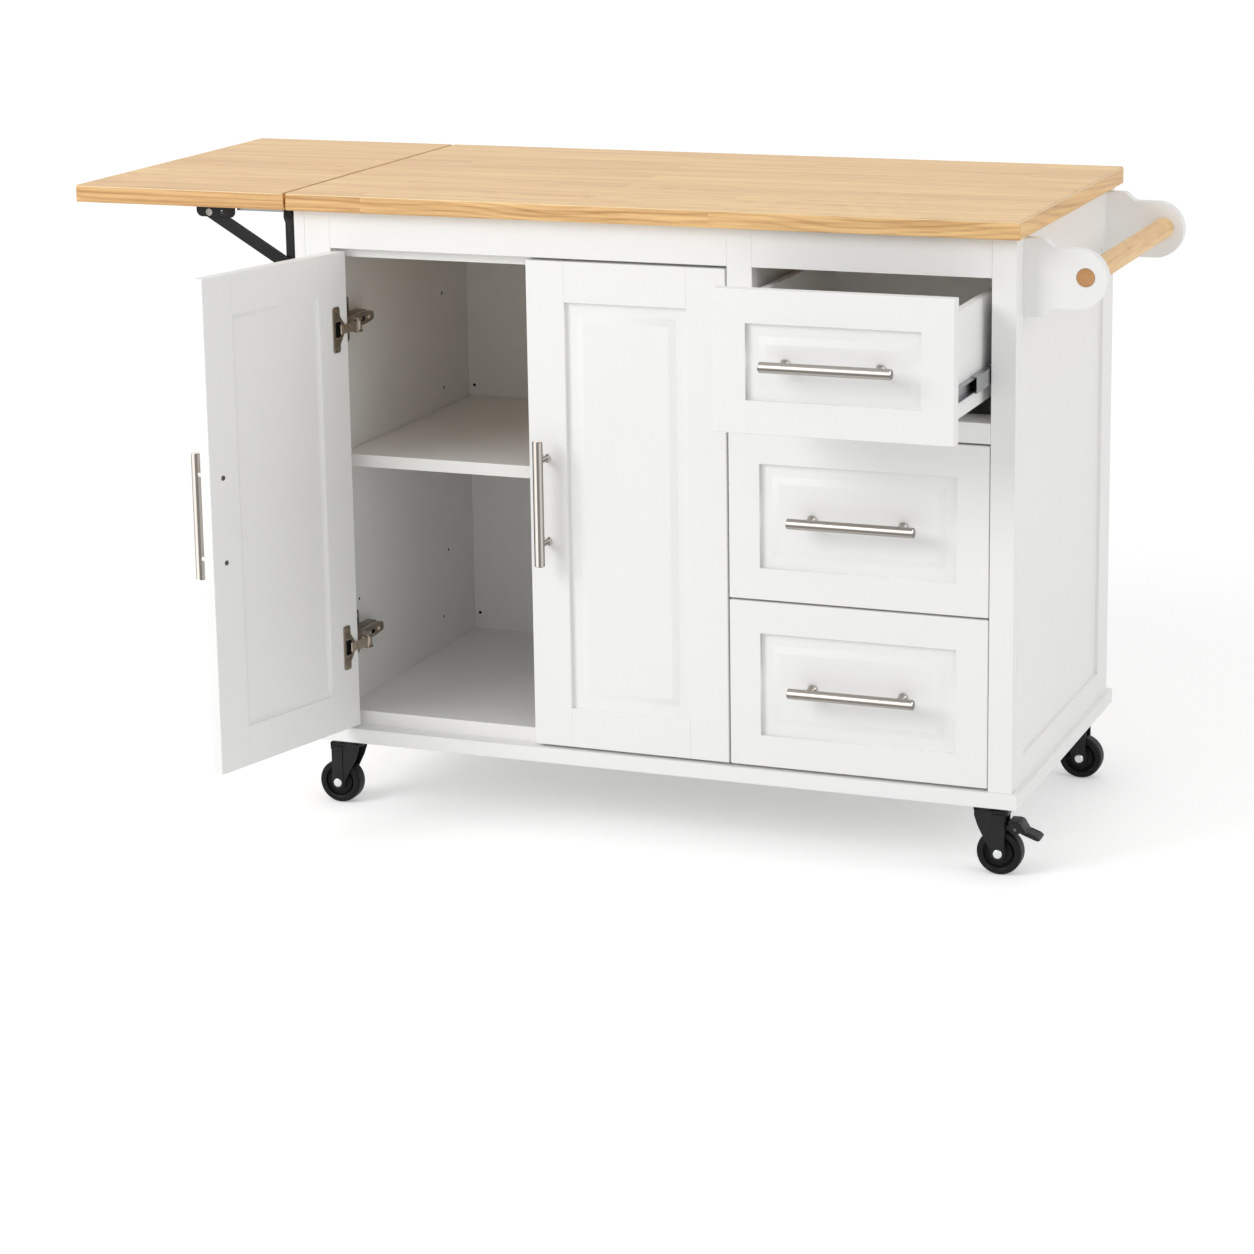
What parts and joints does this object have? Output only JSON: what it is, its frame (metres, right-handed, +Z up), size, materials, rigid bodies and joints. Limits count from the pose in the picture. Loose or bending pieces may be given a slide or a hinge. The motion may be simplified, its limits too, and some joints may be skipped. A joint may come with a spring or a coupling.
{
  "type": "rolling kitchen island",
  "caption": "Rolling kitchen island with a drop leaf, a cupboard with hinged doors, drawers on slides, a towel rail and swivel casters.",
  "frame": {"origin": "on the floor, under the middle of the whole object's box as it stands, with the left door open, the upper drawer pulled out and the leaf raised", "axes": "+Z up, +Y from the front with the doors to the back, +X to the right as seen from the front"},
  "size_m": [1.513, 0.8448, 0.915],
  "materials": {
    "worktop_wood": "natural wood, satin oil",
    "rod_wood": "natural wood, satin",
    "white_paint": "white satin paint",
    "interior_paint": "white matt paint",
    "nickel": "brushed nickel",
    "hinge_nickel": "satin nickel",
    "slide_steel": "zinc plated",
    "black_steel": "black powder coat",
    "zinc": "zinc plated",
    "wheel_black": "hard black rubber",
    "pedal_black": "moulded, matt"
  },
  "bodies": {
    "carcass": {"worktop": "worktop_wood", "side_left": "white_paint", "side_right": "white_paint", "side_panels": "white_paint", "inner_walls": "interior_paint", "divider": "interior_paint", "back_panel": "interior_paint", "base_board": "white_paint", "bottom_board": "interior_paint", "top_stretchers": "interior_paint", "outer_stiles": "white_paint", "centre_stile": "white_paint", "rails": "white_paint", "shelf": "interior_paint", "shelf_pegs": "nickel", "towel_brackets": "white_paint", "towel_rod": "rod_wood", "hinge_arms": "hinge_nickel", "slide_outers": "slide_steel", "leaf_wall_plates": "black_steel", "caster_plates": "zinc"},
    "drop_leaf": {"leaf": "worktop_wood", "leaf_brackets": "black_steel"},
    "front_strut": {"strut_front": "black_steel"},
    "rear_strut": {"strut_rear": "black_steel"},
    "left_door": {"door_left": "white_paint", "handle_left": "nickel", "hinge_cups_left": "hinge_nickel"},
    "right_door": {"door_right": "white_paint", "handle_right": "nickel", "hinge_cups_right": "hinge_nickel"},
    "left_hinge_links": {"hinge_links_left": "hinge_nickel"},
    "right_hinge_links": {"hinge_links_right": "hinge_nickel"},
    "upper_drawer": {"drawer_front_1": "white_paint", "drawer_box_1": "white_paint", "drawer_bottom_1": "white_paint", "drawer_handle_1": "nickel", "slide_inner_1": "slide_steel"},
    "upper_slide_middles": {"slide_mid_1": "slide_steel"},
    "middle_drawer": {"drawer_front_2": "white_paint", "drawer_box_2": "white_paint", "drawer_bottom_2": "white_paint", "drawer_handle_2": "nickel", "slide_inner_2": "slide_steel"},
    "middle_slide_middles": {"slide_mid_2": "slide_steel"},
    "lower_drawer": {"drawer_front_3": "white_paint", "drawer_box_3": "white_paint", "drawer_bottom_3": "white_paint", "drawer_handle_3": "nickel", "slide_inner_3": "slide_steel"},
    "lower_slide_middles": {"slide_mid_3": "slide_steel"},
    "front_left_fork": {"fork_front_left": "black_steel"},
    "front_left_wheel": {"wheel_front_left": "wheel_black"},
    "front_right_fork": {"fork_front_right": "black_steel"},
    "front_right_wheel": {"wheel_front_right": "wheel_black"},
    "rear_left_fork": {"fork_rear_left": "black_steel"},
    "rear_left_wheel": {"wheel_rear_left": "wheel_black"},
    "rear_right_fork": {"fork_rear_right": "black_steel"},
    "rear_right_wheel": {"wheel_rear_right": "wheel_black"},
    "brake_pedal": {"brake_pedal": "pedal_black"}
  },
  "joints": [
    {"name": "leaf_hinge", "type": "hinge", "parent": "carcass", "child": "drop_leaf", "pos_m": [-0.4325, 0.12986, 0.878], "axis": [0, -1, 0], "range_deg": [0, 90]},
    {"name": "front_strut_pivot", "type": "hinge", "parent": "carcass", "child": "front_strut", "pos_m": [-0.4325, -0.12264, 0.804], "axis": [0, -1, 0], "range_deg": [0, 120.73]},
    {"name": "rear_strut_pivot", "type": "hinge", "parent": "carcass", "child": "rear_strut", "pos_m": [-0.4325, 0.37736, 0.804], "axis": [0, -1, 0], "range_deg": [0, 120.73]},
    {"name": "left_door_hinge", "type": "hinge", "parent": "carcass", "child": "left_door", "pos_m": [-0.352, -0.13824, 0.48], "axis": [0, 0, 1], "range_deg": [0, 105]},
    {"name": "right_door_hinge", "type": "hinge", "parent": "carcass", "child": "right_door", "pos_m": [0.232, -0.13824, 0.48], "axis": [0, 0, 1], "range_deg": [0, 90]},
    {"name": "left_link_pivot", "type": "hinge", "parent": "carcass", "child": "left_hinge_links", "pos_m": [-0.32987, -0.12134, 0.48], "axis": [0, 0, 1], "range_deg": [0, 105]},
    {"name": "right_link_pivot", "type": "hinge", "parent": "carcass", "child": "right_hinge_links", "pos_m": [0.20987, -0.12134, 0.48], "axis": [0, 0, 1], "range_deg": [0, 90]},
    {"name": "upper_drawer_slide", "type": "slide", "parent": "carcass", "child": "upper_drawer", "axis": [0, -1, 0], "range_m": [-0.165, 0.185]},
    {"name": "upper_middle_slide", "type": "slide", "parent": "carcass", "child": "upper_slide_middles", "axis": [0, -1, 0], "range_m": [-0.0825, 0.0925]},
    {"name": "middle_drawer_slide", "type": "slide", "parent": "carcass", "child": "middle_drawer", "axis": [0, -1, 0], "range_m": [0, 0.35]},
    {"name": "middle_middle_slide", "type": "slide", "parent": "carcass", "child": "middle_slide_middles", "axis": [0, -1, 0], "range_m": [0, 0.175]},
    {"name": "lower_drawer_slide", "type": "slide", "parent": "carcass", "child": "lower_drawer", "axis": [0, -1, 0], "range_m": [0, 0.35]},
    {"name": "lower_middle_slide", "type": "slide", "parent": "carcass", "child": "lower_slide_middles", "axis": [0, -1, 0], "range_m": [0, 0.175]},
    {"name": "front_left_swivel", "type": "hinge", "parent": "carcass", "child": "front_left_fork", "pos_m": [-0.3685, -0.10064, 0.098], "axis": [0, 0, 1], "continuous": true},
    {"name": "front_left_spin", "type": "hinge", "parent": "front_left_fork", "child": "front_left_wheel", "pos_m": [-0.3885, -0.10064, 0.032], "axis": [0, 1, 0], "continuous": true},
    {"name": "front_right_swivel", "type": "hinge", "parent": "carcass", "child": "front_right_fork", "pos_m": [0.5975, -0.10064, 0.098], "axis": [0, 0, 1], "continuous": true},
    {"name": "front_right_spin", "type": "hinge", "parent": "front_right_fork", "child": "front_right_wheel", "pos_m": [0.6175, -0.10064, 0.032], "axis": [0, 1, 0], "continuous": true},
    {"name": "rear_left_swivel", "type": "hinge", "parent": "carcass", "child": "rear_left_fork", "pos_m": [-0.3685, 0.36236, 0.098], "axis": [0, 0, 1], "continuous": true},
    {"name": "rear_left_spin", "type": "hinge", "parent": "rear_left_fork", "child": "rear_left_wheel", "pos_m": [-0.3885, 0.36236, 0.032], "axis": [0, 1, 0], "continuous": true},
    {"name": "rear_right_swivel", "type": "hinge", "parent": "carcass", "child": "rear_right_fork", "pos_m": [0.5975, 0.36236, 0.098], "axis": [0, 0, 1], "continuous": true},
    {"name": "rear_right_spin", "type": "hinge", "parent": "rear_right_fork", "child": "rear_right_wheel", "pos_m": [0.6175, 0.36236, 0.032], "axis": [0, 1, 0], "continuous": true},
    {"name": "brake_pedal_pivot", "type": "hinge", "parent": "front_right_fork", "child": "brake_pedal", "pos_m": [0.641, -0.10064, 0.0685], "axis": [0, 1, 0], "range_deg": [0, 15]}
  ],
  "couplings": [
    {"joint": "front_strut_pivot", "follows": "leaf_hinge", "ratio": 1.3403},
    {"joint": "rear_strut_pivot", "follows": "leaf_hinge", "ratio": 1.3403},
    {"joint": "left_link_pivot", "follows": "left_door_hinge", "ratio": 1},
    {"joint": "right_link_pivot", "follows": "right_door_hinge", "ratio": 1},
    {"joint": "upper_middle_slide", "follows": "upper_drawer_slide", "ratio": 0.5},
    {"joint": "middle_middle_slide", "follows": "middle_drawer_slide", "ratio": 0.5},
    {"joint": "lower_middle_slide", "follows": "lower_drawer_slide", "ratio": 0.5}
  ]
}
